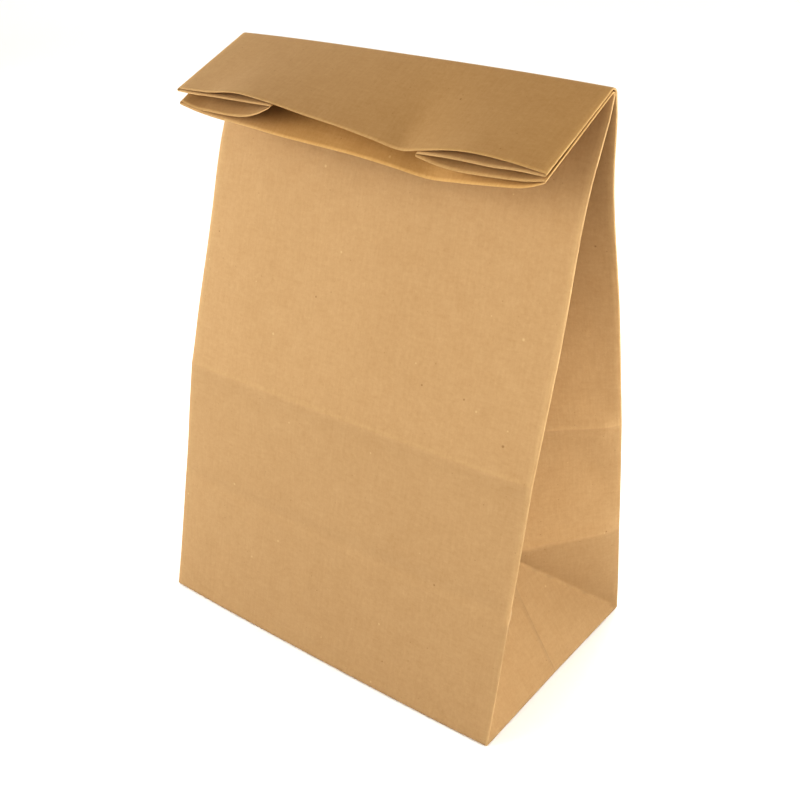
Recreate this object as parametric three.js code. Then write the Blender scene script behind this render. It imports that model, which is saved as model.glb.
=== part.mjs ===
// A brown kraft paper bag with side gussets and a flat block bottom.
// It stands open at the foot, and its top is closed flat and folded once towards the front.
// One folded sheet, so one closed thin body: outer face, straight cut mouth, inner face and floor.
// Millimetres, +Z up, origin at the middle of the bottom. The front wall faces -Y, the right gusset +X.
import * as THREE from 'three';

// ---- driving dimensions ----
const WIDTH = 152;                 // front and back panels, edge to edge
const DEPTH = 94;                  // gusset width, and the bottom's depth
const PAPER = 0.15;                // one ply
const FLOOR = 0.45;                // bottom: three pasted plies
const FLOOR_EDGE = 0.5;            // height at which the walls leave the bottom
const CREASE_R = 0.25;             // inside a crease, to the middle of the sheet
const CREASE_RUN = 0.35;           // straight stretch beside each crease
const FRONT_CREASE = { y: -26.8, z: 93.9 };   // level crease across the front wall
const BACK_CREASE = { y: 34.0, z: 89.5 };     // level crease across the back wall
const APEX_FRONT = 48.0;           // up the front wall to the level of the bottom's triangle crease
const APEX_BACK = 42.5;            // up the back wall to the same level
const RIDGE_LEFT = [-71.7, 9.1, 211.4];       // left end of the top fold
const RIDGE_RIGHT = [80.3, 0.3, 212.8];       // right end of the top fold
const FOLD_BOW = 0.8;              // the fold rises this much between its ends
const FOLD_R0 = 0.6;               // bend radius of the innermost ply at the fold
const PLY_PITCH = 0.5;             // spacing of the four plies there
const FLAP_BACK = 34.1;            // flap length of the back panel at the left
const FLAP_BACK_GAIN = 1.1;        // and how much longer it is at the right
const FLAP_FRONT = 36.3;           // flap length of the front panel at the left
const FLAP_FRONT_GAIN = 0.6;       // and how much longer it is at the right
const BASE_BOW = 1.0;              // the front wall stands out this much at its middle
const SEAM_STEP = 0.12;            // the sheet's pasted lap, in the left gusset beside the back edge
const SEAM_SHARE = 0.25;           // its width, as a share of half the gusset

// ---- mesh counts ----
const N_PANEL = 10, N_ARC = 3;
const HALF = [0, 0.25, 0.5, 0.75, 1];                                   // columns of half a gusset
const HALF_WITH_SEAM = [0, SEAM_SHARE, SEAM_SHARE + 0.006, 0.5, 0.75, 1];
const WALL_LEVELS = [0.0107, 0.25, 0.5, 0.75, 1, 1.33, 1.67, 2, 2.16, 2.34, 2.52, 2.7, 2.82, 2.92, 3];
const BEND_STEPS = 5;
const FLAP_SHARES = [0.1, 0.3, 0.55, 0.8, 1];

const HW = WIDTH / 2, HD = DEPTH / 2, E = CREASE_R, M = CREASE_RUN;
const V = (x, y, z) => new THREE.Vector3(x, y, z);
const add = (a, b) => a.clone().add(b);
const sub = (a, b) => a.clone().sub(b);
const mul = (a, k) => a.clone().multiplyScalar(k);
const mix = (a, b, t) => a.clone().lerp(b, t);
const unit = (a) => a.clone().normalize();
const cross = (a, b) => new THREE.Vector3().crossVectors(a, b);
const offset = (p, ...steps) => steps.reduce((q, [d, k]) => q.addScaledVector(d, k), p.clone());
const Y = V(0, 1, 0), Z = V(0, 0, 1);
const rad = (d) => d * Math.PI / 180;

// smooth curve through points
function curve(xs, ys) {
  const n = xs.length, h = [], d = [];
  for (let i = 0; i < n - 1; i++) { h.push(xs[i + 1] - xs[i]); d.push((ys[i + 1] - ys[i]) / h[i]); }
  const m = ys.map((_, i) => i === 0 ? d[0] : i === n - 1 ? d[n - 2]
    : (d[i - 1] * h[i] + d[i] * h[i - 1]) / (h[i] + h[i - 1]));
  return (x) => {
    x = Math.min(Math.max(x, xs[0]), xs[n - 1]);
    let i = 0;
    while (i < n - 2 && x >= xs[i + 1]) i++;
    const t = (x - xs[i]) / h[i], t2 = t * t, t3 = t2 * t;
    return (2 * t3 - 3 * t2 + 1) * ys[i] + (t3 - 2 * t2 + t) * h[i] * m[i]
      + (-2 * t3 + 3 * t2) * ys[i + 1] + (t3 - t2) * h[i] * m[i + 1];
  };
}

// ---- how the soft walls stand off their straight lines, by height ----
const sway = curve([0, 10, 46, 60, 80, 101, 115, 128, 141, 153, 162, 170, 178, 189, 196, 204, 213],
  [0, 0.2, 0.4, 0.55, 0.6, 0.55, 0.45, 0.35, 0.1, -0.4, -0.85, -1.15, -1.3, -1.0, -0.5, 0, 0]);
const leftPuff = curve([0, 45, 60, 79, 98, 116, 134, 154, 179, 193, 206],
  [0, -0.2, -0.4, -1.0, -1.3, -2.3, -2.7, -2.9, -3.0, -1.9, 0]);
const frontBelly = curve([0, 30, 94, 130, 170, 200, 208], [1, 1.1, 0.9, 1.3, 1.2, 0.3, 0]);
const backBelly = curve([0, 30, 90, 130, 170, 200, 208], [0.4, 1.2, 1.4, 1.9, 1.6, 0.4, 0]);
const crown = (u) => 1 - Math.pow(Math.abs(2 * u - 1), 2.6);
const standFront = (p, u) => V(p.x + sway(p.z),
  p.y + leftPuff(p.z) * (1 - u) - BASE_BOW * frontBelly(p.z) * crown(u), p.z);
const standBack = (p, u) => V(p.x + sway(p.z), p.y + backBelly(p.z) * crown(u), p.z);

// ---- the top fold: a line, and the bend of each ply round it ----
// plies from the inside of the fold outwards: f front panel, g and h gusset halves, b back panel
const TL = V(...RIDGE_LEFT), TR = V(...RIDGE_RIGHT);
const T = unit(sub(TR, TL));
const N1 = unit(offset(V(0, -1, 0), [T, T.y]));        // forwards, square to the fold
const N2 = cross(N1, T); if (N2.z > 0) N2.negate();     // downwards, square to the fold
const UP = mul(N2, -1), BACK = mul(N1, -1);
const R_PLY = { f: FOLD_R0, g: FOLD_R0 + PLY_PITCH, h: FOLD_R0 + 2 * PLY_PITCH, b: FOLD_R0 + 3 * PLY_PITCH };
const VALLEY_U = (HD - E) / WIDTH;
const foldCentre = (u) => offset(mix(TL, TR, u),
  [Z, FOLD_BOW * (1 - Math.pow(Math.abs(2 * u - 1), 3))], [N2, R_PLY.b]);
const lengthBack = (u) => FLAP_BACK + FLAP_BACK_GAIN * u;
const lengthFront = (u) => FLAP_FRONT + FLAP_FRONT_GAIN * u;
const flapLength = (ply, u) => ply === 'f' ? lengthFront(u)
  : lengthBack(u) + (ply === 'g' ? 1.3 : ply === 'h' ? 0.65 : 0);

// mean droop of each ply of the flap below the level, in degrees, along the fold
const droopBack = curve([0, .1, .2, .3, .4, .5, .58, .645, .7, .8, .9, 1],
  [23.9, 23.3, 20.4, 22.2, 25.8, 28.9, 32.8, 36.3, 33.0, 27.4, 26.5, 28.4]);
const droopFront = curve([0, .05, .1, .2, .3, .4, .5, .6, .69, .75, .85, .95, 1],
  [29.2, 33.0, 35.3, 37.5, 40.2, 41.3, 42.4, 45.8, 50.2, 47.1, 41.4, 35, 29.0]);
const droopLeftG = curve([0, .14, .3, .5, .65, .8, 1], [29.2, 33.0, 33.8, 33.8, 32.6, 29.4, 22.7]);
const droopLeftH = curve([0, .2, .43, .7, 1], [23.9, 24.3, 23.9, 23.4, 22.7]);
const droopRightG = curve([0, .15, .3, .5, .7, .85, 1], [29.0, 32.3, 34.3, 36.3, 37.6, 36.8, 33.6]);
const droopRightH = curve([0, .2, .4, .6, .8, 1], [28.4, 29.0, 30.7, 31.2, 32.0, 33.6]);
const rootBack = (u) => 23.9 + 4.5 * u;
const rootFront = (u) => 29.2 - 0.2 * u;
const shareFromRidge = (u) => (u < 0.5 ? u : 1 - u) / VALLEY_U;
function droop(ply, u) {               // [at the fold's root, mean over the flap]
  if (ply === 'f') return [rootFront(u), droopFront(u)];
  if (ply === 'b') return [rootBack(u), droopBack(u)];
  const left = u < 0.5, w = shareFromRidge(u);
  if (ply === 'h') return [rootBack(u), left ? droopLeftH(w) : droopRightH(w)];
  return left ? [29.2 + (rootBack(VALLEY_U) - 29.2) * w, droopLeftG(w)]
    : [29.0 + (rootBack(1 - VALLEY_U) - 29.0) * w, droopRightG(w)];
}
const atCrease = (side, u) => {
  const c = side === 'f' ? FRONT_CREASE : BACK_CREASE;
  return V(-HW + WIDTH * u, c.y, c.z);
};
function tangentAngle(side, u) {       // where a wall touches its bend, as an angle round the fold
  const q = sub(atCrease(side, u), foldCentre(u)), back = q.dot(BACK), up = q.dot(UP);
  return Math.atan2(up, back) + Math.acos(R_PLY[side] / Math.hypot(back, up));
}
function startAngle(ply, u) {
  if (ply === 'f' || ply === 'b') return tangentAngle(ply, u);
  const w = shareFromRidge(u), af = tangentAngle('f', u), ab = tangentAngle('b', u);
  return (ply === 'g' ? af : ab) * (1 - w) + (af + ab) / 2 * w;
}
const around = (a) => offset(mul(BACK, Math.cos(a)), [UP, Math.sin(a)]);
function bendPoint(ply, u, share) {
  const [root, mean] = droop(ply, u), a0 = startAngle(ply, u);
  const a = a0 + (rad(90 + root + (mean - root) * 0.5) - a0) * share;
  return offset(foldCentre(u), [around(a), R_PLY[ply]]);
}
function flapPoint(ply, u, share) {    // the flap curls a little more towards its mouth
  const [root, mean] = droop(ply, u), length = flapLength(ply, u), steps = 16;
  const p = bendPoint(ply, u, 1);
  for (let i = 0; i < steps; i++) {
    const k = (i + 0.5) / steps * share, a = rad(root + (mean - root) * (0.5 + k));
    p.addScaledVector(N1, Math.cos(a) * length * share / steps);
    p.addScaledVector(N2, Math.sin(a) * length * share / steps);
  }
  return p;
}

// ---- front and back walls. Levels: 0 foot, 1 triangle's point, 2 level crease, 3 start of the bend ----
const S_FRONT = Math.hypot(HD + FRONT_CREASE.y, FRONT_CREASE.z);
const S_BACK = Math.hypot(HD - BACK_CREASE.y, BACK_CREASE.z);
const pathShare = (v, apex, total) => (v <= 1 ? apex * v : apex + (total - apex) * (v - 1)) / total;
function frontWall(u, v) {
  if (v > 2) return standFront(mix(atCrease('f', u), bendPoint('f', u, 0), v - 2), u);
  return standFront(mix(V(-HW + WIDTH * u, -HD, 0), atCrease('f', u), pathShare(v, APEX_FRONT, S_FRONT)), u);
}
function backWall(u, v) {
  if (v > 2) return standBack(mix(atCrease('b', u), bendPoint('b', u, 0), v - 2), u);
  return standBack(mix(V(-HW + WIDTH * u, HD, 0), atCrease('b', u), pathShare(v, APEX_BACK, S_BACK)), u);
}
const LOW_IN_F = unit(V(0, FRONT_CREASE.z, -(HD + FRONT_CREASE.y)));
const LOW_IN_B = unit(V(0, -BACK_CREASE.z, -(HD - BACK_CREASE.y)));
function inwards(side, v, u) {
  const low = side === 'f' ? LOW_IN_F : LOW_IN_B;
  if (v <= 2) return low;
  const high = around(tangentAngle(side, u));
  if (side === 'b') high.negate();
  return unit(mix(low, high, Math.min(1, (v - 2) * 4)));
}

// ---- the gussets: a ridge at each panel's edge and a valley between them ----
const valleyIn = curve([0, 1, 2, 3], [0, 3.1, 0, 0]);
const valleyDip = curve([0, 1, 2, 2.5, 3], [0, 4.7, 3.5, 1.2, 0]);
function gusset(v, sx) {               // centres of its three creases at level v
  const u = sx > 0 ? 1 - E / WIDTH : E / WIDTH;
  const cf = offset(frontWall(u, v), [inwards('f', v, u), E]);
  const cb = offset(backWall(u, v), [inwards('b', v, u), E]);
  if (v < 1) return { cf, cb };
  const half = cf.distanceTo(cb) / 2;
  const depth = Math.sqrt(Math.max((HD - E) ** 2 - half ** 2, 0)) + valleyIn(v);
  const dir = unit(mix(V(1, 0, 0), T, Math.max(0, v - 2)));
  return { cf, cb, cv: offset(mix(cf, cb, 0.5), [dir, -sx * depth], [Z, -valleyDip(v)]) };
}
// a ply between two creases of radius r0 and r1, passing them on the given sides
function plyBetween(c0, c1, up, r0, r1) {
  let d = unit(sub(c1, c0)), n;
  for (let i = 0; i < 3; i++) {
    n = unit(cross(d, up));
    d = unit(sub(offset(c1, [n, -r1]), offset(c0, [n, r0])));
  }
  n = unit(cross(d, up));
  return [d, n];
}
const lerpList = (a, b, shares) => shares.map((w) => mix(a, b, w));
const sharesOf = (name) => name === 'hL' ? HALF_WITH_SEAM : HALF;
const runOf = (name) => name === 'hL' || name === 'gR' ? sharesOf(name) : sharesOf(name).map((w) => 1 - w).reverse();
const PANEL = Array.from({ length: N_PANEL + 1 }, (_, i) => i / N_PANEL);
const U_EDGE = (E + M) / WIDTH;
const panelU = PANEL.map((w) => U_EDGE + (1 - 2 * U_EDGE) * w);

function wallRing(v) {
  const out = { f: panelU.map((u) => frontWall(u, v)), b: panelU.map((u) => backWall(u, v)).reverse() };
  for (const [sx, s] of [[1, 'R'], [-1, 'L']]) {
    const at = gusset(v, sx);
    const [lo, hi] = v >= 2.99 ? [v - 0.01, v] : [v, v + 0.01];
    const A = gusset(lo, sx), B = gusset(hi, sx);
    const upF = unit(sub(B.cf, A.cf)), upB = unit(sub(B.cb, A.cb));
    const { cf, cb, cv } = at;
    if (v >= 1) {
      const upV = unit(sub(B.cv, A.cv ?? cv));
      const uf = unit(add(upF, upV)), ub = unit(add(upB, upV));
      if (sx > 0) {
        const [d1, n1] = plyBetween(cf, cv, uf, E, -E), [d2, n2] = plyBetween(cv, cb, ub, -E, E);
        out.gR = lerpList(offset(cf, [n1, E], [d1, M]), offset(cv, [n1, -E], [d1, -M]), HALF);
        out.hR = lerpList(offset(cv, [n2, -E], [d2, M]), offset(cb, [n2, E], [d2, -M]), HALF);
      } else {
        const [d2, n2] = plyBetween(cb, cv, ub, E, -E), [d1, n1] = plyBetween(cv, cf, uf, -E, E);
        out.hL = lerpList(offset(cb, [n2, E], [d2, M]), offset(cv, [n2, -E], [d2, -M]), HALF_WITH_SEAM);
        out.gL = lerpList(offset(cv, [n1, -E], [d1, M]), offset(cf, [n1, E], [d1, -M]), HALF);
      }
    } else {
      // below the triangle's point: edge, diagonal crease, flat triangle, diagonal crease, edge
      const point = gusset(1, sx).cv;
      const f0 = V(sx * HW, -HD, 0), b0 = V(sx * HW, HD, 0);
      const df = mix(f0, point, v), db = mix(b0, point, v), mid = mix(V(sx * HW, 0, 0), point, v);
      const mf = offset(mid, [Y, -1.5 * M]), mb = offset(mid, [Y, 1.5 * M]);
      const dirF = v > 0.02 ? unit(sub(df, cf)) : Y, dirB = v > 0.02 ? unit(sub(cb, db)) : Y;
      const nf = unit(cross(mul(dirF, sx), upF)), nb = unit(cross(mul(dirB, sx), upB));
      const half = (ridge, diagonal, middle, shares) => shares.map((w) => v <= 0.02 ? mix(ridge, middle, w)
        : w < v ? mix(ridge, diagonal, w / v) : mix(diagonal, middle, (w - v) / (1 - v)));
      const g = half(offset(cf, [nf, E], [dirF, M]), df, mf, HALF);
      const h = half(offset(cb, [nb, E], [dirB, -M]), db, mb, sx > 0 ? HALF : HALF_WITH_SEAM);
      if (sx > 0) { out.gR = g; out.hR = h.reverse(); } else { out.hL = h; out.gL = g.reverse(); }
    }
  }
  return join(out);
}
function topRing(point) {              // a ring in the bend or in the flap
  const valleyR = 1 - VALLEY_U + M / WIDTH, valleyL = VALLEY_U - M / WIDTH;
  const us = (a, b, shares) => shares.map((w) => a + (b - a) * w);
  return join({
    f: panelU.map((u) => point('f', u)), b: panelU.map((u) => point('b', u)).reverse(),
    gR: us(1 - U_EDGE, valleyR, HALF).map((u) => point('g', u)),
    hR: us(valleyR, 1 - U_EDGE, HALF).map((u) => point('h', u)),
    hL: us(U_EDGE, valleyL, HALF_WITH_SEAM).map((u) => point('h', u)),
    gL: us(valleyL, U_EDGE, HALF).map((u) => point('g', u)),
  });
}
// the six plies joined by six rounded creases into one closed ring
const ORDER = ['f', 'gR', 'hR', 'b', 'hL', 'gL'];
function join(plies) {
  const ring = [];
  ORDER.forEach((name, i) => {
    const a = plies[name], b = plies[ORDER[(i + 1) % 6]];
    for (let k = 0; k < a.length - 1; k++) ring.push(a[k]);
    const p = a[a.length - 1], q = b[0];
    const d1 = unit(sub(p, a[a.length - 2])), d2 = unit(sub(b[1], q));
    const gap = p.distanceTo(q), turn = Math.acos(Math.min(1, Math.max(-1, d1.dot(d2))));
    let reach = turn < 0.3 ? Math.min(M * 0.9, gap * 0.45) : M * 0.9 + 4 / 3 * Math.tan(turn / 4) * E;
    reach = Math.min(reach, Math.max(gap, 0.66 * gap / Math.max(Math.sin(turn / 2), 0.3)));
    const p1 = offset(p, [d1, reach]), q1 = offset(q, [d2, -reach]);
    for (let k = 0; k < N_ARC; k++) {
      const t = k / N_ARC, s = 1 - t;
      ring.push(offset(mul(p, s * s * s), [p1, 3 * s * s * t], [q1, 3 * s * t * t], [q, t * t * t]));
    }
  });
  return ring;
}
// the name of each column of the ring, and its place in its ply
const COLUMNS = [];
for (const name of ORDER) {
  const n = (name === 'f' || name === 'b' ? PANEL : sharesOf(name)).length;
  for (let k = 0; k < n - 1; k++) COLUMNS.push([name, k]);
  for (let k = 0; k < N_ARC; k++) COLUMNS.push(['crease', k]);
}

// ---- the whole sheet's middle surface: rings from the foot to the mouth ----
const rings = WALL_LEVELS.map(wallRing);
for (let i = 1; i <= BEND_STEPS; i++) rings.push(topRing((ply, u) => bendPoint(ply, u, i / BEND_STEPS)));
for (const s of FLAP_SHARES) rings.push(topRing((ply, u) => flapPoint(ply, u, s)));
for (const p of rings[0]) p.z = FLOOR_EDGE;

const NC = COLUMNS.length, NR = rings.length;
const normals = rings.map((ring, r) => ring.map((p, c) => {
  const right = ring[(c + 1) % NC], left = ring[(c + NC - 1) % NC];
  const above = rings[Math.min(r + 1, NR - 1)][c], below = rings[Math.max(r - 1, 0)][c];
  const n = V(0, 0, 0);
  const up = r < NR - 1 ? sub(above, p) : sub(p, below), down = r > 0 ? sub(p, below) : up;
  const fwd = sub(right, p), back = sub(p, left);
  for (const a of [fwd, back]) for (const b of [up, down]) n.add(unit(cross(a, b)));
  return n.normalize();
}));
const inSeam = (c) => COLUMNS[c][0] === 'hL' && COLUMNS[c][1] <= 1;
const outer = rings.map((ring, r) => ring.map((p, c) =>
  offset(p, [normals[r][c], PAPER / 2 + (inSeam(c) && r > 0 ? SEAM_STEP : 0)])));
const inner = rings.map((ring, r) => ring.map((p, c) => offset(p, [normals[r][c], -PAPER / 2])));
for (const p of outer[0]) p.z = FLOOR_EDGE;
for (const p of inner[0]) p.z = FLOOR + 0.15;
const drawnIn = (ring, by, z) => ring.map((p) => V(p.x * (1 - by / HW), p.y * (1 - by / HD), z));
const footOut = drawnIn(outer[0], 0.35, 0), footIn = drawnIn(inner[0], 0.2, FLOOR);

// ---- one closed body ----
const positions = [], triangles = [];
const put = (ring) => ring.map((p) => positions.push(p.x, p.y, p.z) / 3 - 1);
const iOuter = outer.map(put), iInner = inner.map(put), iFootOut = put(footOut), iFootIn = put(footIn);
const [under] = put([V(0, 0, 0)]), [over] = put([V(0, 0, FLOOR)]);
const isForward = (r, c) => {          // which diagonal a cell is split along
  const name = COLUMNS[c][0];
  return !(r < 4 && (name === 'hR' || name === 'gL'));
};
function band(lower, upper, r, flip) {
  for (let c = 0; c < NC; c++) {
    const d = (c + 1) % NC, q = [lower[c], lower[d], upper[d], upper[c]];
    const tris = isForward(r, c) ? [[q[0], q[1], q[2]], [q[0], q[2], q[3]]] : [[q[0], q[1], q[3]], [q[1], q[2], q[3]]];
    for (const t of tris) triangles.push(...(flip ? t.reverse() : t));
  }
}
band(iFootOut, iOuter[0], 99, false);
for (let r = 0; r < NR - 1; r++) { band(iOuter[r], iOuter[r + 1], r, false); band(iInner[r], iInner[r + 1], r, true); }
band(iOuter[NR - 1], iInner[NR - 1], 99, false);
band(iFootIn, iInner[0], 99, true);
for (let c = 0; c < NC; c++) {
  const d = (c + 1) % NC;
  triangles.push(under, iFootOut[d], iFootOut[c]);
  triangles.push(over, iFootIn[c], iFootIn[d]);
}

const geometry = new THREE.BufferGeometry();
geometry.setAttribute('position', new THREE.Float32BufferAttribute(positions, 3));
geometry.setIndex(triangles);
geometry.computeVertexNormals();

const kraft = new THREE.MeshStandardMaterial({ color: 0xb98f62, roughness: 0.85, metalness: 0 });
const bag = new THREE.Mesh(geometry, kraft);
bag.name = 'paper_bag';

const group = new THREE.Group();
group.add(bag);
export default group;
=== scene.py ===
import math

import bpy
import numpy as np
from mathutils import Matrix, Vector


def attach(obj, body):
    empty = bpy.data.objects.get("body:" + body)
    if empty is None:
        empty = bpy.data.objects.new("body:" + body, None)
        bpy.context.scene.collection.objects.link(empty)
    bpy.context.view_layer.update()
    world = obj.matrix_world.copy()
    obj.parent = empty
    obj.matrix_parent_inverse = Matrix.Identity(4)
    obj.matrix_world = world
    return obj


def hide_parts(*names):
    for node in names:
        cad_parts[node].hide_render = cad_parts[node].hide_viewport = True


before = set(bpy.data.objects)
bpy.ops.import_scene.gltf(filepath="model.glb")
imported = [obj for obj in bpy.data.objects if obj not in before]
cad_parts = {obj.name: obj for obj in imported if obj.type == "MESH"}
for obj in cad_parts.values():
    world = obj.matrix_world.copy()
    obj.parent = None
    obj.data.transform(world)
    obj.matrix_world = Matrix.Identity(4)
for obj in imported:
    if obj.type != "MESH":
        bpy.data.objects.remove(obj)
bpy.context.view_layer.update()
scene = bpy.context.scene

# ------------------------------------------------------------------ camera
# the photograph's own view, solved from the bag's corners (metres)
CAM_AT = Vector((0.225063, -0.286401, 0.283182))
CAM_R = Vector((0.79456, 0.60712, -0.00867))
CAM_U = Vector((-0.27910, 0.37787, 0.88278))
CAM_F = Vector((-0.53923, 0.69901, -0.46970))
cam_data = bpy.data.cameras.new("camera")
cam_data.sensor_fit = "AUTO"
cam_data.sensor_width = 36.0
cam_data.lens = 1121.74 / 800 * 36.0
cam_data.dof.use_dof = False
cam_data.clip_start, cam_data.clip_end = 0.01, 20
camera = bpy.data.objects.new("camera", cam_data)
scene.collection.objects.link(camera)
camera.matrix_world = Matrix((
    (CAM_R.x, CAM_U.x, -CAM_F.x, CAM_AT.x),
    (CAM_R.y, CAM_U.y, -CAM_F.y, CAM_AT.y),
    (CAM_R.z, CAM_U.z, -CAM_F.z, CAM_AT.z),
    (0, 0, 0, 1)))
scene.camera = camera

# ------------------------------------------------------------------ the sheet, in millimetres
W, HW, HD = 152.0, 76.0, 47.0
TH = 0.15                      # one ply
E, M = 0.25, 0.35              # crease radius, straight run beside each crease
DL = 0.5
RF = 0.6
RAD = {"f": RF, "g": RF + DL, "h": RF + 2 * DL, "b": RF + 3 * DL}
RB = RAD["b"]
FC = np.array([-26.8, 93.9])   # level creases, front and back (y, z)
BC = np.array([34.0, 89.5])
VF1, VB1 = 48.0, 42.5
SF2 = float(np.hypot(HD + FC[0], FC[1]))
SB2 = float(np.hypot(HD - BC[0], BC[1]))
TL = np.array([-71.7, 9.1, 211.4])
TR = np.array([80.3, 0.3, 212.8])
T = (TR - TL) / np.linalg.norm(TR - TL)
N1 = np.array([0, -1.0, 0]); N1 -= (N1 @ T) * T; N1 /= np.linalg.norm(N1)
N2 = np.cross(N1, T); N2 *= -np.sign(N2[2])
UP, BKW = -N2, -N1


def herm(xs, ys):
    xs, ys = np.array(xs, float), np.array(ys, float)
    h = np.diff(xs); d = np.diff(ys) / h
    m = np.zeros(len(xs)); m[0] = d[0]; m[-1] = d[-1]
    for i in range(1, len(xs) - 1):
        m[i] = (d[i - 1] * h[i] + d[i] * h[i - 1]) / (h[i] + h[i - 1])

    def f(x):
        x = np.clip(np.asarray(x, float), xs[0], xs[-1])
        i = np.clip(np.searchsorted(xs, x, side="right") - 1, 0, len(h) - 1)
        t = (x - xs[i]) / h[i]
        return ((2 * t**3 - 3 * t**2 + 1) * ys[i] + (t**3 - 2 * t**2 + t) * h[i] * m[i]
                + (-2 * t**3 + 3 * t**2) * ys[i + 1] + (t**3 - t**2) * h[i] * m[i + 1])
    return f


def unit(a):
    return a / np.linalg.norm(a, axis=-1, keepdims=True)


def lerp(a, b, t):
    return a + (b - a) * t


sway = herm([0, 10, 46, 60, 80, 101, 115, 128, 141, 153, 162, 170, 178, 189, 196, 204, 213],
            [0, .2, .4, .55, .6, .55, .45, .35, .1, -.4, -.85, -1.15, -1.3, -1.0, -.5, 0, 0])
left_puff = herm([0, 45, 60, 79, 98, 116, 134, 154, 179, 193, 206],
                 [0, -.2, -.4, -1.0, -1.3, -2.3, -2.7, -2.9, -3.0, -1.9, 0])
front_belly = herm([0, 30, 94, 130, 170, 200, 208], [1, 1.1, .9, 1.3, 1.2, .3, 0])
back_belly = herm([0, 30, 90, 130, 170, 200, 208], [.4, 1.2, 1.4, 1.9, 1.6, .4, 0])


def crown(u):
    return 1 - np.abs(2 * u - 1) ** 2.6


def stand_front(p, u):
    z = p[..., 2]
    q = p.copy()
    q[..., 0] += sway(z)
    q[..., 1] += left_puff(z) * (1 - u) - front_belly(z) * crown(u)
    return q


def stand_back(p, u):
    z = p[..., 2]
    q = p.copy()
    q[..., 0] += sway(z)
    q[..., 1] += back_belly(z) * crown(u)
    return q


def LB(u):
    return 34.1 + 1.1 * u


def LF(u):
    return 36.3 + 0.6 * u


back_c = herm([0, .1, .2, .3, .4, .5, .58, .645, .7, .8, .9, 1],
              [23.9, 23.3, 20.4, 22.2, 25.8, 28.9, 32.8, 36.3, 33.0, 27.4, 26.5, 28.4])
front_c = herm([0, .05, .1, .2, .3, .4, .5, .6, .69, .75, .85, .95, 1],
               [29.2, 33.0, 35.3, 37.5, 40.2, 41.3, 42.4, 45.8, 50.2, 47.1, 41.4, 35, 29.0])
gfL_c = herm([0, .14, .3, .5, .65, .8, 1], [29.2, 33.0, 33.8, 33.8, 32.6, 29.4, 22.7])
gbL_c = herm([0, .2, .43, .7, 1], [23.9, 24.3, 23.9, 23.4, 22.7])
gfR_c = herm([0, .15, .3, .5, .7, .85, 1], [29.0, 32.3, 34.3, 36.3, 37.6, 36.8, 33.6])
gbR_c = herm([0, .2, .4, .6, .8, 1], [28.4, 29.0, 30.7, 31.2, 32.0, 33.6])
UV_ = (HD - E) / W


def bb(u):
    return 23.9 + 4.5 * u


def bf(u):
    return 29.2 - 0.2 * u


def C0(u):
    u = np.asarray(u, float)[..., None]
    return TL + (TR - TL) * u + np.array([0, 0, 1.0]) * 0.8 * (1 - np.abs(2 * u - 1) ** 3) + N2 * RB


def around(a):
    a = np.radians(np.asarray(a, float))[..., None]
    return BKW * np.cos(a) + UP * np.sin(a)


def angs(ply, u):
    if ply == "f":
        return bf(u), front_c(u)
    if ply == "b":
        return bb(u), back_c(u)
    left = u < 0.5
    v = np.where(left, u / UV_, (1 - u) / UV_)
    if ply == "g":
        base = np.where(left, 29.2 + (bb(UV_) - 29.2) * v, 29.0 + (bb(1 - UV_) - 29.0) * v)
        return base, np.where(left, gfL_c(v), gfR_c(v))
    return bb(u), np.where(left, gbL_c(v), gbR_c(v))


def length(ply, u):
    return {"f": LF(u), "g": LB(u) + 1.3, "h": LB(u) + .65, "b": LB(u)}[ply]


def tangent_angle(side, u):
    u = np.asarray(u, float)
    c = C0(u)
    yz = FC if side == "f" else BC
    x = -HW + W * u
    q = np.stack([x, yz[0] + 0 * x, yz[1] + 0 * x], -1) - c
    qb, qu = q @ BKW, q @ UP
    return np.degrees(np.arctan2(qu, qb) + np.arccos(RAD[side] / np.hypot(qb, qu)))


def start_angle(ply, u):
    if ply in "fb":
        return tangent_angle(ply, u)
    v = np.where(u < 0.5, u / UV_, (1 - u) / UV_)
    af, ab = tangent_angle("f", u), tangent_angle("b", u)
    return (af if ply == "g" else ab) * (1 - v) + (af + ab) / 2 * v


def bend(ply, u, share):
    b, c = angs(ply, u)
    s = start_angle(ply, u)
    a = s + (90 + b + (c - b) * 0.5 - s) * share
    return C0(u) + RAD[ply] * around(a)


def flap(ply, u, lam, n=24):
    b, c = angs(ply, u)
    L = length(ply, u)
    P = bend(ply, u, 1.0)
    for q in (np.arange(n) + .5) / n * lam:
        ph = np.radians(b + (c - b) * (0.5 + q))[..., None]
        P = P + (N1 * np.cos(ph) + N2 * np.sin(ph)) * (L * lam / n)[..., None]
    return P


def frontwall(u, v):
    u = np.asarray(u, float); x = -HW + W * u
    if v <= 2:
        s = VF1 * v if v <= 1 else VF1 + (SF2 - VF1) * (v - 1)
        k = s / SF2
        p = np.stack([x, -HD + (FC[0] + HD) * k + 0 * x, FC[1] * k + 0 * x], -1)
    else:
        c = np.stack([x, FC[0] + 0 * x, FC[1] + 0 * x], -1)
        p = c + (bend("f", u, 0) - c) * (v - 2)
    return stand_front(p, u)


def backwall(u, v):
    u = np.asarray(u, float); x = -HW + W * u
    if v <= 2:
        s = VB1 * v if v <= 1 else VB1 + (SB2 - VB1) * (v - 1)
        k = s / SB2
        p = np.stack([x, HD + (BC[0] - HD) * k + 0 * x, BC[1] * k + 0 * x], -1)
    else:
        c = np.stack([x, BC[0] + 0 * x, BC[1] + 0 * x], -1)
        p = c + (bend("b", u, 0) - c) * (v - 2)
    return stand_back(p, u)


def inward(side, v, u):
    lo = unit(np.array([0, FC[1], -(HD + FC[0])]) if side == "f" else np.array([0, -BC[1], -(HD - BC[0])]))
    if v <= 2:
        return lo
    hi = around(tangent_angle(side, u))
    if side == "b":
        hi = -hi
    return unit(lo + (hi - lo) * min(1, (v - 2) * 4))


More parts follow.
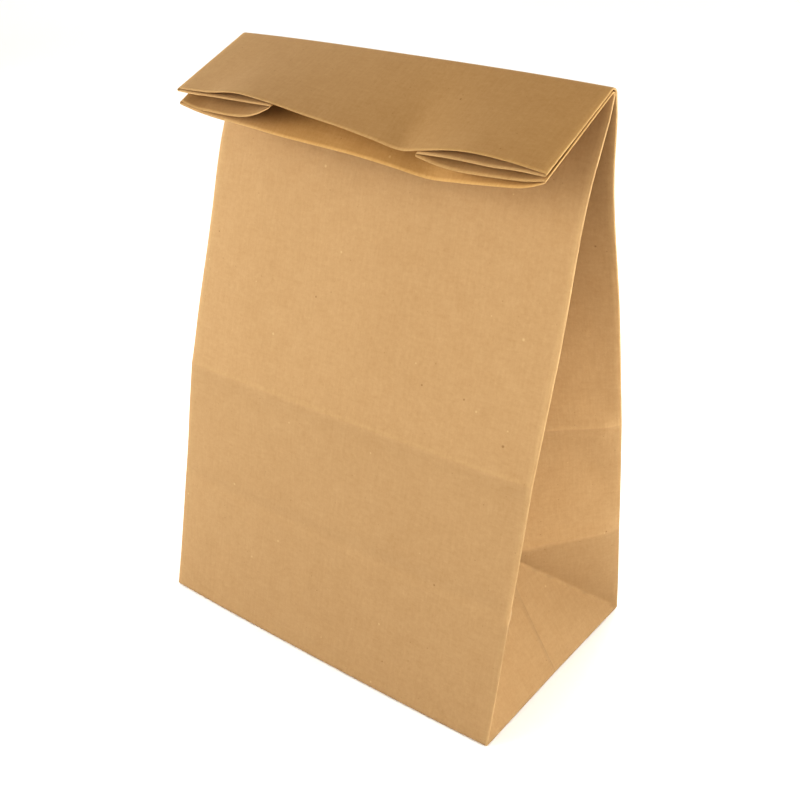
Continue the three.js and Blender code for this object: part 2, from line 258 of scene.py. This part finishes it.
EXTRA = herm([0, 1, 2, 3], [0, 3.1, 0, 0])
DIP = herm([0, 1, 2, 2.5, 3], [0, 4.7, 3.5, 1.2, 0])


def gusset(v, sx):
    u = 1 - E / W if sx > 0 else E / W
    cf = frontwall(u, v) + E * inward("f", v, u)
    cb = backwall(u, v) + E * inward("b", v, u)
    if v < 1:
        return cf, cb, None
    half = np.linalg.norm(cf - cb) / 2
    ins = math.sqrt(max((HD - E) ** 2 - half**2, 0)) + float(EXTRA(v))
    tdir = unit(lerp(np.array([1.0, 0, 0]), T, max(0, v - 2)))
    return cf, cb, (cf + cb) / 2 - sx * ins * tdir - np.array([0, 0, float(DIP(v))])


def ply_between(c, other, up, e0, e1):
    d = unit(other - c)
    for _ in range(3):
        n = unit(np.cross(d, up)); d = unit(other - e1 * n - (c + e0 * n))
    return d, unit(np.cross(d, up))


# ------------------------------------------------------------------ grid of the sheet
NF, NG, NA = 72, 24, 6
PLIES = ["f", "gR", "hR", "b", "hL", "gL"]
wF = np.arange(NF + 1) / NF
wG = np.arange(NG + 1) / NG
LAP_W, LAP_STEP = 0.25, 0.12   # pasted lap: share of the left gusset's back half, and its step
wL = np.sort(np.append(wG, LAP_W + 0.003))
U_EDGE = (E + M) / W
Y = np.array([0, 1.0, 0])


def bezier(A, B, d1, d2, h, n):
    t = (np.arange(n) / n)[:, None]
    P1, P2 = A + d1 * h, B - d2 * h
    return (1 - t)**3 * A + 3 * (1 - t)**2 * t * P1 + 3 * (1 - t) * t * t * P2 + t**3 * B


def join(o):
    P = []
    for i, k in enumerate(PLIES):
        a, b = o[k], o[PLIES[(i + 1) % 6]]
        P.append(a[:-1])
        d1, d2 = unit(a[-1] - a[-2]), unit(b[1] - b[0])
        sep = np.linalg.norm(b[0] - a[-1])
        th = math.acos(np.clip(d1 @ d2, -1, 1))
        h = min(M * 0.9, sep * 0.45) if th < 0.3 else M * 0.9 + (4 / 3) * math.tan(th / 4) * E
        h = min(h, max(sep, 0.66 * sep / max(math.sin(th / 2), 0.3)))
        P.append(bezier(a[-1], b[0], d1, d2, h, NA))
    return np.concatenate(P)


def wall_ring(v):
    uu = U_EDGE + (1 - 2 * U_EDGE) * wF
    out = {"f": frontwall(uu, v), "b": backwall(uu, v)[::-1]}
    for sx, sd in ((1, "R"), (-1, "L")):
        cf, cb, cv = gusset(v, sx)
        v1, v2 = (v - .01, v) if v >= 2.99 else (v, v + .01)
        cf2, cb2, cv2 = gusset(v2, sx)
        cf1, cb1, cv1 = gusset(v1, sx)
        upf, upb = unit(cf2 - cf1), unit(cb2 - cb1)
        w, wh = wG[:, None], (wG if sx > 0 else wL)[:, None]
        if v >= 1:
            upv = unit(cv2 - (cv1 if cv1 is not None else cv))
            if sx > 0:
                d1, n1 = ply_between(cf, cv, unit(upf + upv), E, -E)
                d2, n2 = ply_between(cv, cb, unit(upb + upv), -E, E)
                g = lerp(cf + E * n1 + M * d1, cv - E * n1 - M * d1, w)
                h = lerp(cv - E * n2 + M * d2, cb + E * n2 - M * d2, wh)
            else:
                d2, n2 = ply_between(cb, cv, unit(upb + upv), E, -E)
                d1, n1 = ply_between(cv, cf, unit(upf + upv), -E, E)
                h = lerp(cb + E * n2 + M * d2, cv - E * n2 - M * d2, wh)
                g = lerp(cv - E * n1 + M * d1, cf + E * n1 - M * d1, w)
        else:
            _, _, P = gusset(1.0, sx)
            f0, b0 = np.array([sx * HW, -HD, 0.]), np.array([sx * HW, HD, 0.])
            df, db, mid = lerp(f0, P, v), lerp(b0, P, v), lerp((f0 + b0) / 2, P, v)
            mf, mb = mid - Y * M * 1.5, mid + Y * M * 1.5
            dirf = unit(df - cf) if v > 0.02 else Y
            dirb = unit(cb - db) if v > 0.02 else Y
            nf, nb = unit(np.cross(dirf * sx, upf)), unit(np.cross(dirb * sx, upb))

            def half(R, D, Md, w):
                if v <= 0.02:
                    return lerp(R, Md, w)
                return np.where(w < v, lerp(R, D, w / v), lerp(D, Md, (w - v) / (1 - v)))
            g = half(cf + E * nf + M * dirf, df, mf, w)
            h = half(cb + E * nb - M * dirb, db, mb, wh)
            if sx > 0:
                h = h[::-1]
            else:
                g = g[::-1]
        out["g" + sd], out["h" + sd] = g, h
    return join(out)


def top_ring(fn):
    uu = U_EDGE + (1 - 2 * U_EDGE) * wF
    uvr, uvl = 1 - UV_ + M / W, UV_ - M / W
    ur, ul = 1 - U_EDGE, U_EDGE
    return join({"f": fn("f", uu), "b": fn("b", uu)[::-1],
                 "gR": fn("g", ur + (uvr - ur) * wG), "hR": fn("h", uvr + (ur - uvr) * wG),
                 "hL": fn("h", ul + (uvl - ul) * wL), "gL": fn("g", uvl + (ul - uvl) * wG)})


k24 = [i / NG for i in range(1, NG + 1)]
levels = [0.0107] + k24
levels += [1.012, 1.03, 1.06, 1.1, 1.15, 1.2, 1.26, 1.32, 1.38, 1.44, 1.5, 1.56, 1.62, 1.68, 1.74, 1.8, 1.86,
           1.91, 1.945, 1.968, 1.984, 1.993, 2.0]
levels += [2.003, 2.008, 2.015, 2.025, 2.038, 2.055, 2.075]
levels += list(np.linspace(2.1, 2.9, 33)) + [2.92, 2.938, 2.954, 2.968, 2.98, 2.989, 2.995, 3.0]
NB, NL = 9, 30
rows, kind = [], []
for v in levels:
    rows.append(wall_ring(float(v))); kind.append(("wall", v))
for i in range(1, NB + 1):
    rows.append(top_ring(lambda p, u: bend(p, u, i / NB))); kind.append(("bend", i / NB))
for i in range(1, NL + 1):
    lam = i / NL
    rows.append(top_ring(lambda p, u: flap(p, u, lam))); kind.append(("flap", lam))
mid = np.array(rows)
mid[0, :, 2] = 0.5
NR, NC = mid.shape[:2]

col_ply, col_w = [], []
for name in PLIES:
    ws = wF if name in "fb" else wL if name == "hL" else wG
    for k in ws[:-1]:
        col_ply.append(name); col_w.append(float(k))
    # the rounded crease after this ply: m stands out, n is folded in
    for k in range(NA):
        col_ply.append("n" if name in ("gR", "hL") else "m"); col_w.append(k / NA)
col_ply = np.array(col_ply); col_w = np.array(col_w)

# place on the flat sheet: round the tube (s) and up it (t), in millimetres
ds = np.linalg.norm(np.roll(mid[len(levels) - 1], -1, axis=0) - mid[len(levels) - 1], axis=1)
s_col = np.concatenate([[0], np.cumsum(ds)])           # NC + 1 values, the last closes the tube
dt = np.linalg.norm(np.diff(mid, axis=0), axis=2)
ridge_cols = [i for i in range(NC) if col_ply[i] == "f"]
t_row = np.concatenate([[0], np.cumsum(dt[:, ridge_cols].mean(1))])

# ------------------------------------------------------------------ soft relief of used paper
def waves(s, t, n, lo, hi, amp, seed):
    r = np.random.RandomState(seed)
    out = np.zeros(np.broadcast(s, t).shape)
    for _ in range(n):
        lam = lo * (hi / lo) ** r.rand()
        th = r.rand() * math.pi
        ph = r.rand() * 2 * math.pi
        out += amp * (lam / hi) ** 1.1 * np.sin(2 * math.pi * (s * math.cos(th) + t * math.sin(th)) / lam + ph)
    return out / math.sqrt(n / 2)


def smooth(x, a, b):
    x = np.clip((x - a) / (b - a), 0, 1)
    return x * x * (3 - 2 * x)


def normals_of(P):
    right, left = np.roll(P, -1, axis=1) - P, P - np.roll(P, 1, axis=1)
    up = np.concatenate([P[1:] - P[:-1], P[-1:] - P[-2:-1]])
    down = np.concatenate([P[1:2] - P[:1], P[1:] - P[:-1]])
    n = sum(unit(np.cross(a, b)) for a in (right, left) for b in (up, down))
    return unit(n)


nrm = normals_of(mid)
S, Tt = np.meshgrid(s_col[:-1], t_row)
wall_v = np.array([v if k == "wall" else 3.0 for k, v in kind])


# distance in mm from the nearest upright crease, along the sheet
per = s_col[-1]


def from_crease(sort):
    places = [s_col[i] for i in range(NC) if col_ply[i] in sort and col_w[i] == 0.5]
    return np.min([np.abs((S - c + per / 2) % per - per / 2) for c in places], axis=0)


d_crease, d_edge, d_fold = from_crease("mn"), from_crease("m"), from_crease("n")
# the fold in the middle of each side ends at the flat triangle of the bottom
ends = smooth(wall_v, 0.78, 1.0)[:, None]
d_crease = d_edge * (1 - ends) + d_crease * ends
fade = smooth(d_crease, 1.5, 14) * smooth(wall_v, 0.02, 0.25)[:, None] * (1 - smooth(wall_v, 2.82, 2.97))[:, None]
relief = waves(S, Tt, 26, 16, 70, 0.16, 5) + waves(S, Tt, 20, 7, 18, 0.03, 8)
relief = relief * fade


def groove(x, width):
    return np.exp(-(x / width) ** 2)


SIDE_HOLLOW = 1.4
is_f = (col_ply == "f")[None, :]
is_b = (col_ply == "b")[None, :]
is_side = ~(is_f | is_b)
tF1, tF2 = np.interp(1.0, wall_v[:len(levels)], t_row[:len(levels)]), np.interp(2.0, wall_v[:len(levels)], t_row[:len(levels)])
edge_keep = smooth(d_crease, 0.0, 2.0)
VV, WW = np.broadcast_to(wall_v[:, None], S.shape), np.broadcast_to(col_w[None, :], S.shape)
low = VV < 2.6
# level crease: stands out a little, and the wall sinks in under it
relief += edge_keep * (0.16 * groove(Tt - tF2, 1.5) - 0.12 * groove(Tt - (tF2 - 3.2), 2.4)) * low
# crease of the bottom's half depth: pressed in on the big walls, standing out on the sides
relief += edge_keep * np.where(is_f, -0.12 * groove(Tt - tF1 - 2.6, 2.2), 0)
relief += edge_keep * np.where(is_b, -0.08 * groove(Tt - tF1, 1.8), 0)
relief += edge_keep * np.where(is_side, 0.10 * groove(Tt - tF1, 1.3), 0)
# a short pinch below it on the front wall
relief += np.where(is_f, -0.07 * groove((WW - 0.605) * W + (Tt - tF1) * 0.22, 1.3) * smooth(VV, 0.76, 0.82) * (1 - smooth(VV, 1.0, 1.06)), 0)
# side panels: hollow between the two level creases, leaning out from the diagonal crease up to the lower one
wd = np.where(np.isin(col_ply, ["hR", "gL"]), 1 - col_w, col_w)[None, :] + 0 * S      # 0 at the edge, 1 at the fold
panel = np.clip((VV - 1) / 1.0, 0, 1)
hollow = np.where(VV >= 1, 1 - 4 * panel * (1 - panel), np.clip((VV - wd) / np.maximum(1 - wd, 0.06), 0, 1)) * (VV <= 2)
soft_side = smooth(d_crease, 0.0, 7.0)
above = np.where(VV > 2, np.exp(-((VV - 2) / 0.03) ** 2), 0)
relief += np.where(is_side, SIDE_HOLLOW * soft_side * (hollow + above), 0)
relief += np.where(is_side, -0.45 * soft_side * groove(VV - 2.11, 0.055) * (VV > 2), 0)
# a soft dent across the right side's back half, from the fold down to the back edge
is_hr = (col_ply == "hR")[None, :]
dent = (VV - 1.86) + (WW - 0.583) * (0.48 / 0.375)
relief += np.where(is_hr & (VV > 1) & (VV < 2), -0.35 * soft_side * groove(dent * 37.0, 6.0) * smooth(VV, 1.15, 1.4) * (1 - smooth(VV, 1.82, 1.97)), 0)

mid2 = mid + nrm * relief[..., None]
nrm2 = normals_of(mid2)
lap = ((col_ply == "hL") & (col_w <= LAP_W + 1e-6))[None, :, None] * LAP_STEP
outer = mid2 + nrm2 * (TH / 2 + lap)
inner = mid2 - nrm2 * TH / 2
outer[0, :, 2] = 0.5
inner[0, :, 2] = 0.6

verts, uvs, wear_and_highlight = [], [], []


def foot(ring, by, z):
    q = ring.copy()
    q[:, 0] *= 1 - by / HW
    q[:, 1] *= 1 - by / HD
    q[:, 2] = z
    return q


foot_out = foot(outer[0], 0.35, 0.16)
foot_in = foot(inner[0], 0.2, 0.45)
V = np.concatenate([outer.reshape(-1, 3), inner.reshape(-1, 3), foot_out, foot_in,
                    [[0, 0, 0.16]], [[0, 0, 0.45]]])
iO = np.arange(NR * NC).reshape(NR, NC)
iI = iO + NR * NC
iFO = np.arange(NC) + 2 * NR * NC
iFI = iFO + NC
cU, cV = 2 * NR * NC + 2 * NC, 2 * NR * NC + 2 * NC + 1

# sheet coordinates for every corner of every face
tris, tuv = [], []
SU = s_col / 1000.0
TU = t_row / 1000.0
name_c = [col_ply[c] for c in range(NC)]
low_rows = NG                   # rows of the bottom's triangles


def band(lo, hi, r, t0, t1, flip, off=0.0):
    d = np.roll(np.arange(NC), -1)
    c = np.arange(NC)
    a, b, e, f = lo[c], lo[d], hi[d], hi[c]
    back = np.array([(r < low_rows) and name_c[i] in ("hR", "gL") for i in range(NC)])
    ua = np.stack([SU[c] + off, np.full(NC, t0)], -1)
    ub = np.stack([SU[c + 1] + off, np.full(NC, t0)], -1)
    ue = np.stack([SU[c + 1] + off, np.full(NC, t1)], -1)
    uf = np.stack([SU[c] + off, np.full(NC, t1)], -1)
    t1s = np.where(back[:, None], np.stack([a, b, f], -1), np.stack([a, b, e], -1))
    t2s = np.where(back[:, None], np.stack([b, e, f], -1), np.stack([a, e, f], -1))
    u1 = np.where(back[:, None, None], np.stack([ua, ub, uf], 1), np.stack([ua, ub, ue], 1))
    u2 = np.where(back[:, None, None], np.stack([ub, ue, uf], 1), np.stack([ua, ue, uf], 1))
    for t, u in ((t1s, u1), (t2s, u2)):
        if flip:
            t, u = t[:, ::-1], u[:, ::-1]
        tris.append(t); tuv.append(u)


band(iFO, iO[0], 99, TU[0] - .0005, TU[0], False)
for r in range(NR - 1):
    band(iO[r], iO[r + 1], r, TU[r], TU[r + 1], False)
    band(iI[r], iI[r + 1], r, TU[r], TU[r + 1], True, 0.5)
band(iO[-1], iI[-1], 99, TU[-1], TU[-1] + .0002, False)
band(iFI, iI[0], 99, TU[0] - .0005, TU[0], True, 0.5)
c = np.arange(NC); d = np.roll(c, -1)
tris.append(np.stack([np.full(NC, cU), iFO[d], iFO[c]], -1))
tris.append(np.stack([np.full(NC, cV), iFI[c], iFI[d]], -1))
for ring, cc in ((foot_out, (d, c)), (foot_in, (c, d))):
    z = np.zeros((NC, 1, 2)) + 0.9
    tuv.append(np.concatenate([z, ring[cc[0]][:, None, :2] / 1000 + 0.9, ring[cc[1]][:, None, :2] / 1000 + 0.9], 1))
tris = np.concatenate(tris)
tuv = np.concatenate(tuv)

# how pale each point is: real rubbing plus a painted highlight along the standing edges and the cut edge; less so low
# down, the painted edge highlight growing towards the top
high = 0.30 + 0.45 * smooth(VV, 1.2, 2.5)
wear_and_highlight_grid = high * groove(d_edge, 0.50) + 0.08 * groove(d_edge, 2.4)
wear_and_highlight_grid = np.maximum(wear_and_highlight_grid, 0.25 * groove(d_fold, 0.5) * smooth(VV, 0.9, 1.1))
# a thin painted highlight just above the level crease, where its upper side faces the light
wear_and_highlight_grid = np.maximum(wear_and_highlight_grid, 0.12 * groove(Tt - tF2 - 0.6, 0.8) * low)
# painted shade: the walls are darker below the level crease and in the sides' folded corners, with painted light and
# shade bands along the creases
painted_shade_grid = np.ones_like(S)
shade_below_crease = 1 - smooth(Tt - tF2, -1.6, 1.0)
painted_shade_grid -= np.where(is_f | is_b, 0.040 * shade_below_crease + 0.014 * groove(Tt - (tF2 - 3.0), 3.2), 0) * low
# painted shade band above the crease of the bottom's half depth on the front, and a painted light line along that
# crease
painted_shade_grid -= np.where(is_f, 0.022 * groove(Tt - tF1 - 4.8, 2.6) * (VV > 1.0), 0)
painted_shade_grid += np.where(is_f, 0.014 * groove(Tt - tF1 - 0.6, 2.0), 0)
# painted shade in the sides' folded-in corners between the diagonal crease and the lower level crease
shaded_corner = (VV < 1) & (VV > wd)
painted_shade_grid -= np.where(is_side & shaded_corner, 0.07 + 0.05 * wd, 0)
# painted shade on the side panels growing towards the upper level crease, and a painted light band just above the lower
# one
painted_shade_grid -= np.where(is_side & (VV >= 1) & (VV < 2), 0.05 * smooth(VV, 1.35, 1.9), 0)
painted_shade_grid += np.where(is_side & (VV >= 1) & (VV < 1.14), 0.02, 0)
# painted shade and painted warm glow on the turned-over part: a little darker and more saturated, more so to the right
# where less light reaches it
turned = np.array([{"wall": 0.0, "bend": v, "flap": 1.0}[k] for k, v in kind])[:, None] + 0 * S
to_right = np.where(is_b, 1 - WW, WW)
painted_shade_grid -= turned * np.where(is_b, 0.012 + 0.062 * to_right, 0.02)
painted_glow_grid = turned * np.where(is_b, 0.15 + 0.30 * to_right, 0.3)
painted_glow_inside = turned * np.where(is_f, 0.15 + 0.40 * smooth(to_right, 0.08, 0.35), 0.15)
painted_shade_grid = np.clip(painted_shade_grid, 0, 1.05)
painted_shade_all = np.ones(len(V))
painted_shade_all[iO.ravel()] = painted_shade_grid.ravel()
# painted glow: the inside of the front ply in the fold is drawn lighter, as if lit through
painted_shade_all[iI.ravel()] = (1 + 0.07 * turned * is_f).ravel()
painted_glow_all = np.zeros(len(V))
painted_glow_all[iO.ravel()] = painted_glow_grid.ravel()
painted_glow_all[iI.ravel()] = painted_glow_inside.ravel()
wear_and_highlight_all = np.zeros(len(V))
wear_and_highlight_all[iO.ravel()] = wear_and_highlight_grid.ravel()
wear_and_highlight_all[iI.ravel()] = 0.3 * wear_and_highlight_grid.ravel()
wear_and_highlight_all[iO[-1]] = 0.5
wear_and_highlight_all[iI[-1]] = 0.5


def make_mesh(name, V, F, uv=None, attrs=None, smooth_shade=True):
    me = bpy.data.meshes.new(name)
    me.vertices.add(len(V))
    me.vertices.foreach_set("co", (np.asarray(V, float) / 1000.0).ravel())
    F = np.asarray(F, int)
    me.loops.add(F.size)
    me.loops.foreach_set("vertex_index", F.ravel())
    me.polygons.add(len(F))
    me.polygons.foreach_set("loop_start", np.arange(len(F)) * F.shape[1])
    me.polygons.foreach_set("loop_total", np.full(len(F), F.shape[1]))
    me.update(calc_edges=True)
    if uv is not None:
        layer = me.uv_layers.new(name="sheet")
        layer.data.foreach_set("uv", np.asarray(uv, float).ravel())
    for key, val in (attrs or {}).items():
        at = me.attributes.new(key, "FLOAT", "POINT")
        at.data.foreach_set("value", np.asarray(val, float))
    me.polygons.foreach_set("use_smooth", np.full(len(F), smooth_shade))
    me.validate()
    ob = bpy.data.objects.new(name, me)
    scene.collection.objects.link(ob)
    return ob


# per-point attributes: pale rubbing with a painted edge highlight, painted shade and light, and a painted warm glow as
# extra saturation
bag = make_mesh("bag_sheet", V, tris, tuv, {"wear_and_highlight": wear_and_highlight_all, "tone": painted_shade_all - 1.0, "painted_glow": painted_glow_all})

# ------------------------------------------------------------------ pasted bottom, seen from below
def prism(poly, z0, z1):
    n = len(poly)
    P = [[x, y, z0] for x, y in poly] + [[x, y, z1] for x, y in poly]
    F = [list(range(n))[::-1], [n + i for i in range(n)]]
    F += [[i, (i + 1) % n, n + (i + 1) % n, n + i] for i in range(n)]
    return P, F


def flat_piece(name, polys):
    me = bpy.data.meshes.new(name)
    P, F = [], []
    for poly, z0, z1 in polys:
        p, f = prism(poly, z0, z1)
        F += [[i + len(P) for i in q] for q in f]
        P += p
    me.from_pydata([[a / 1000 for a in p] for p in P], [], F)
    me.update()
    layer = me.uv_layers.new(name="sheet")
    for lo in me.loops:
        co = me.vertices[lo.vertex_index].co
        layer.data[lo.index].uv = (co.x + 0.2, co.y + 1.4)
    ob = bpy.data.objects.new(name, me)
    scene.collection.objects.link(ob)
    return ob


X, Yd = HW - 0.75, HD - 0.75
flap_far = flat_piece("bottom_flap_inner", [([(-X, Yd), (-X + 50, -3), (X - 50, -3), (X, Yd)][::-1], 0.085, 0.155)])
flap_near = flat_piece("bottom_flap_outer", [([(-X, -Yd - 0.35), (X, -Yd - 0.35), (X - 54, 9), (-X + 54, 9)], 0.0, 0.08)])

# ------------------------------------------------------------------ kraft paper
def kraft(name):
    m = bpy.data.materials.new(name)
    m.use_nodes = True
    nt = m.node_tree
    nt.nodes.clear()
    N = nt.nodes.new
    L = nt.links.new
    out = N("ShaderNodeOutputMaterial")
    bs = N("ShaderNodeBsdfPrincipled")
    L(bs.outputs[0], out.inputs["Surface"])
    uv = N("ShaderNodeUVMap"); uv.uv_map = "sheet"

    def mapped(scale):
        mp = N("ShaderNodeMapping")
        mp.inputs["Scale"].default_value = scale
        L(uv.outputs[0], mp.inputs["Vector"])
        return mp.outputs[0]

    def noise(vec, scale, detail=2.0, rough=0.5, dist=0.0):
        n = N("ShaderNodeTexNoise")
        n.inputs["Scale"].default_value = scale
        n.inputs["Detail"].default_value = detail
        n.inputs["Roughness"].default_value = rough
        n.inputs["Distortion"].default_value = dist
        L(vec, n.inputs["Vector"])
        return n.outputs["Fac"]

    def math_(op, a, b=None, clamp=False):
        n = N("ShaderNodeMath"); n.operation = op; n.use_clamp = clamp
        for i, x in enumerate((a, b)):
            if x is None:
                continue
            if isinstance(x, (int, float)):
                n.inputs[i].default_value = x
            else:
                L(x, n.inputs[i])
        return n.outputs[0]

    def rng_(x, a, b, c, d):
        n = N("ShaderNodeMapRange"); n.clamp = True
        L(x, n.inputs["Value"])
        for k, q in zip(("From Min", "From Max", "To Min", "To Max"), (a, b, c, d)):
            n.inputs[k].default_value = q
        return n.outputs[0]

    plain = mapped((1, 1, 1))
    streak = mapped((1.0, 0.10, 1))          # fibres lie along the machine direction, up the bag
    cross = mapped((0.18, 1.0, 1))
    fine = noise(plain, 1500, 2.0, 0.6)
    grain = noise(plain, 620, 3.0, 0.62)
    fib = noise(streak, 1100, 2.0, 0.55)
    fib2 = noise(cross, 900, 2.0, 0.55)
    mott = noise(plain, 150, 3.0, 0.6)
    cloud = noise(plain, 26, 3.0, 0.55)
    tone = math_("ADD", math_("MULTIPLY", fine, 0.16), math_("MULTIPLY", grain, 0.30))
    tone = math_("ADD", tone, math_("MULTIPLY", fib, 0.16))
    tone = math_("ADD", tone, math_("MULTIPLY", fib2, 0.12))
    tone = math_("ADD", tone, math_("MULTIPLY", mott, 0.16))
    tone = math_("ADD", tone, math_("MULTIPLY", cloud, 0.10))
    ramp = N("ShaderNodeValToRGB")
    ramp.color_ramp.interpolation = "LINEAR"
    el = ramp.color_ramp.elements
    el[0].position, el[0].color = 0.20, KRAFT_DARK
    el[1].position, el[1].color = 0.80, KRAFT_LIGHT
    L(tone, ramp.inputs["Fac"])
    col = ramp.outputs["Color"]

    def mixc(fac, a, b):
        n = N("ShaderNodeMix"); n.data_type = "RGBA"; n.blend_type = "MIX"
        n.clamp_factor = True
        if isinstance(fac, (int, float)):
            n.inputs[0].default_value = fac
        else:
            L(fac, n.inputs[0])
        for i, x in ((6, a), (7, b)):
            if isinstance(x, tuple):
                n.inputs[i].default_value = x
            else:
                L(x, n.inputs[i])
        return n.outputs[2]

    # specks of bark and pale shives, a few to each panel
    def specks(scale, radius, seed_off, keep):
        mp = N("ShaderNodeMapping")
        mp.inputs["Location"].default_value = (seed_off, seed_off * 1.7, 0)
        L(uv.outputs[0], mp.inputs["Vector"])
        vo = N("ShaderNodeTexVoronoi"); vo.feature = "F1"; vo.voronoi_dimensions = "2D"
        vo.inputs["Scale"].default_value = scale
        vo.inputs["Randomness"].default_value = 1.0
        L(mp.outputs[0], vo.inputs["Vector"])
        sep = N("ShaderNodeSeparateColor")
        L(vo.outputs["Color"], sep.inputs[0])
        on = math_("GREATER_THAN", sep.outputs[0], keep)
        size = math_("MULTIPLY", sep.outputs[1], radius * scale)
        dot = rng_(math_("DIVIDE", vo.outputs["Distance"], math_("ADD", size, radius * scale * 0.5)), 0.45, 1.0, 1.0, 0.0)
        return math_("MULTIPLY", dot, on)
    col = mixc(math_("MULTIPLY", specks(60, 0.00042, 0.31, 0.90), 0.45), col, SPECK_DARK)
    col = mixc(math_("MULTIPLY", specks(150, 0.00022, 1.13, 0.80), 0.30), col, SPECK_DARK)
    col = mixc(math_("MULTIPLY", specks(80, 0.00045, 2.71, 0.90), 0.30), col, SPECK_PALE)
    # creases rubbed pale, partly real wear and partly a painted highlight along the folds
    at = N("ShaderNodeAttribute"); at.attribute_name = "wear_and_highlight"
    rub_and_highlight = math_("MULTIPLY", at.outputs["Fac"], rng_(fib, 0.3, 0.7, 0.35, 0.75))
    col = mixc(rub_and_highlight, col, RUBBED_AND_LIT)
    # painted shade and light of the walls, from the sheet's own tone attribute (0 where nothing is changed), and
    # painted warm glow as extra saturation
    shade_attr = N("ShaderNodeAttribute"); shade_attr.attribute_name = "tone"
    hv = N("ShaderNodeHueSaturation")
    L(math_("ADD", shade_attr.outputs["Fac"], 1.0), hv.inputs["Value"])
    glow_attr = N("ShaderNodeAttribute"); glow_attr.attribute_name = "painted_glow"
    L(math_("ADD", math_("MULTIPLY", glow_attr.outputs["Fac"], 0.30), 1.0), hv.inputs["Saturation"])
    L(col, hv.inputs["Color"])
    col = hv.outputs[0]
    L(col, bs.inputs["Base Color"])
    bs.inputs["Roughness"].default_value = 0.86
    L(rng_(grain, 0.3, 0.7, 0.80, 0.93), bs.inputs["Roughness"])
    bs.inputs["Specular IOR Level"].default_value = 0.22
    bs.inputs["IOR"].default_value = 1.45
    bs.inputs["Sheen Weight"].default_value = 0.06
    bs.inputs["Sheen Roughness"].default_value = 0.5
    # fibre relief
    hgt = math_("ADD", math_("MULTIPLY", fine, 0.5), math_("MULTIPLY", grain, 1.0))
    hgt = math_("ADD", hgt, math_("MULTIPLY", fib, 0.7))
    hgt = math_("ADD", hgt, math_("MULTIPLY", mott, 1.2))
    bump = N("ShaderNodeBump")
    bump.inputs["Strength"].default_value = 0.42
    bump.inputs["Distance"].default_value = 0.00010
    L(hgt, bump.inputs["Height"])
    L(bump.outputs[0], bs.inputs["Normal"])
    return m


def lin(r, g, b):
    f = lambda x: (x / 255 / 12.92) if x <= 10.3 else ((x / 255 + 0.055) / 1.055) ** 2.4
    return (f(r), f(g), f(b), 1.0)


KRAFT_DARK = lin(158, 130, 95)
KRAFT_LIGHT = lin(182, 157, 124)
SPECK_DARK = lin(112, 84, 56)
SPECK_PALE = lin(206, 186, 152)
# pale rub colour, also used as a painted highlight on the folds
RUBBED_AND_LIT = lin(206, 180, 140)
paper = kraft("kraft_paper_outside")
for ob in (bag, flap_far, flap_near):
    ob.data.materials.append(paper)
    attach(ob, "root")
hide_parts("paper_bag")

# ------------------------------------------------------------------ stage
me = bpy.data.meshes.new("floor")
me.from_pydata([(-3, -3, -0.0002), (3, -3, -0.0002), (3, 3, -0.0002), (-3, 3, -0.0002)], [], [(0, 1, 2, 3)])
floor = bpy.data.objects.new("floor", me)
scene.collection.objects.link(floor)
fm = bpy.data.materials.new("floor_paint")
fm.use_nodes = True
fb = fm.node_tree.nodes["Principled BSDF"]
fb.inputs["Base Color"].default_value = (0.90, 0.90, 0.90, 1)
fb.inputs["Roughness"].default_value = 0.9
fb.inputs["Specular IOR Level"].default_value = 0.1
me.materials.append(fm)

world = bpy.data.worlds.new("studio")
scene.world = world
world.use_nodes = True
world.node_tree.nodes["Background"].inputs["Color"].default_value = (1, 0.96, 0.90, 1)
world.node_tree.nodes["Background"].inputs["Strength"].default_value = 0.25


def softbox(name, at, look, size, power, colour=(1, 1, 1)):
    ld = bpy.data.lights.new(name, "AREA")
    ld.shape = "RECTANGLE"
    ld.size, ld.size_y = size
    ld.energy = power
    ld.color = colour
    ob = bpy.data.objects.new(name, ld)
    scene.collection.objects.link(ob)
    ob.location = at
    ob.rotation_mode = "QUATERNION"
    ob.rotation_quaternion = (Vector(look) - Vector(at)).to_track_quat("-Z", "Y")
    return ob


def round_about(turn, rise, far):
    a, e = math.radians(turn), math.radians(rise)
    return (far * math.sin(a) * math.cos(e), -far * math.cos(a) * math.cos(e), 0.11 + far * math.sin(e))


MIDDLE = (0, 0, 0.11)
softbox("front_left", (-0.50, -0.56, 0.40), (0, 0, 0.13), (0.4, 0.4), 0.84)
softbox("front_left_far", round_about(-45, 15, 0.9), MIDDLE, (0.5, 0.5), 2.03)
softbox("front_low", round_about(-20, 5, 0.8), MIDDLE, (0.4, 0.4), 0.6)
softbox("left", round_about(-75, 12, 0.9), MIDDLE, (0.5, 0.5), 3.4)
softbox("right", round_about(85, 9, 0.9), MIDDLE, (0.5, 0.5), 2.05)
softbox("right_near", (0.42, -0.14, 0.25), (0.03, 0, 0.17), (0.22, 0.22), 0.62)
softbox("right_back", (0.40, 0.10, 0.22), (0.05, 0, 0.17), (0.22, 0.22), 0.12)
softbox("behind", (0.2, 2.0, 1.5), (-0.1, 0.9, 0), (1.8, 1.8), 6.0)
softbox("far_floor", (-1.4, 1.0, 0.8), (-1.4, 1.0, 0), (0.8, 0.8), 1.2)
softbox("overhead", (0, 0, 1.0), MIDDLE, (1.6, 1.6), 0.85, (1.0, 0.86, 0.64))
# a wide, soft light from behind, low enough to pass over the folded top; it evens out the floor
sky = bpy.data.lights.new("back_sky", "SUN")
sky.energy, sky.angle = 1.5, math.radians(60)
back_sky = bpy.data.objects.new("back_sky", sky)
scene.collection.objects.link(back_sky)
back_sky.rotation_mode = "QUATERNION"
back_sky.rotation_quaternion = Vector((0.10, -0.88, -0.46)).to_track_quat("-Z", "Y")

scene.view_settings.view_transform = "Standard"
scene.view_settings.look = "Very High Contrast"
scene.view_settings.exposure = 0.0
scene.view_settings.gamma = 1.0
